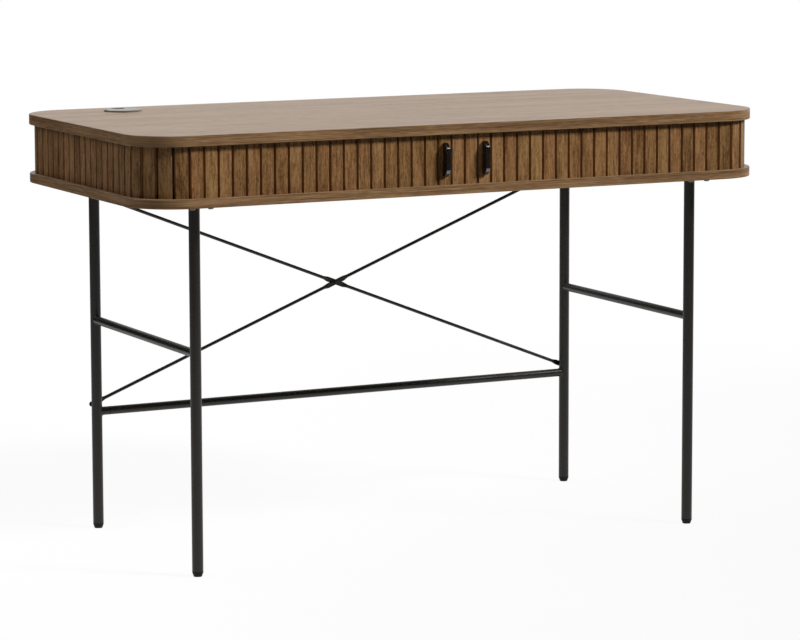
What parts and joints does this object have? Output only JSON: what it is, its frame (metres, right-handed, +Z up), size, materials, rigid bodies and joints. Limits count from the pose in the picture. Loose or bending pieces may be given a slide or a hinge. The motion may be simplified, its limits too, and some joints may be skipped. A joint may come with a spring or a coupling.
{
  "type": "desk",
  "caption": "Writing desk with a flat rounded case that opens in front with two sliding tambour doors of upright slats, on slim tube legs with cross braces behind.",
  "frame": {"origin": "floor level under the middle of the case", "axes": "+Z up, -Y out of the front, +X to the right as seen from the front"},
  "size_m": [1.2, 0.605, 0.753],
  "materials": {
    "veneer_panel": "satin lacquer",
    "veneer_slat": "satin lacquer",
    "inner_board": "satin",
    "beech": "raw",
    "canvas": "woven",
    "black_metal": "satin powder coat",
    "zinc_steel": "zinc plated",
    "black_plastic": "matte",
    "grommet_plastic": "satin"
  },
  "bodies": {
    "desk": {"top_panel": "veneer_panel", "bottom_panel": "veneer_panel", "inner_back": "inner_board", "centre_divider": "inner_board", "track_stops": "inner_board", "dowels": "beech", "grommet_liner": "grommet_plastic", "plate_screws": "zinc_steel", "rail_stub": "black_metal", "rear_rail": "black_metal", "rising_brace": "black_metal", "falling_brace": "black_metal", "brace_end_screws": "black_metal", "brace_centre_screw": "black_metal", "brace_centre_nut": "black_metal", "left_inner_side": "inner_board", "left_front_slats": "veneer_slat", "left_front_canvas": "canvas", "left_front_corner_slats": "veneer_slat", "left_side_slats": "veneer_slat", "left_rear_corner_slats": "veneer_slat", "left_side_canvas": "canvas", "left_stretcher": "black_metal", "left_front_corner_block": "inner_board", "left_front_leg": "black_metal", "left_front_foot": "black_plastic", "left_front_leg_plate": "black_metal", "left_rear_corner_block": "inner_board", "left_rear_leg": "black_metal", "left_rear_foot": "black_plastic", "left_rear_leg_plate": "black_metal", "right_inner_side": "inner_board", "right_front_slats": "veneer_slat", "right_front_canvas": "canvas", "right_front_corner_slats": "veneer_slat", "right_side_slats": "veneer_slat", "right_rear_corner_slats": "veneer_slat", "right_side_canvas": "canvas", "right_stretcher": "black_metal", "right_front_corner_block": "inner_board", "right_front_leg": "black_metal", "right_front_foot": "black_plastic", "right_front_leg_plate": "black_metal", "right_rear_corner_block": "inner_board", "right_rear_leg": "black_metal", "right_rear_foot": "black_plastic", "right_rear_leg_plate": "black_metal"},
    "left_door": {"left_lead_slat": "veneer_slat", "left_handle_slat": "veneer_slat", "left_door_canvas": "canvas", "left_handle": "black_metal", "left_handle_screws": "zinc_steel"},
    "right_door": {"right_lead_slat": "veneer_slat", "right_handle_slat": "veneer_slat", "right_door_canvas": "canvas", "right_handle": "black_metal", "right_handle_screws": "zinc_steel"},
    "grommet_cap": {"grommet_cap": "grommet_plastic"}
  },
  "joints": [
    {"name": "left_door_slide", "type": "slide", "parent": "desk", "child": "left_door", "axis": [-1, 0, 0], "range_m": [0, 0.43095], "deforming": ["left_front_slats", "left_front_canvas"]},
    {"name": "right_door_slide", "type": "slide", "parent": "desk", "child": "right_door", "axis": [1, 0, 0], "range_m": [0, 0.43095], "deforming": ["right_front_slats", "right_front_canvas"]},
    {"name": "grommet_cap_lift", "type": "slide", "parent": "desk", "child": "grommet_cap", "axis": [0, 0, 1], "range_m": [0, 0.03]}
  ]
}
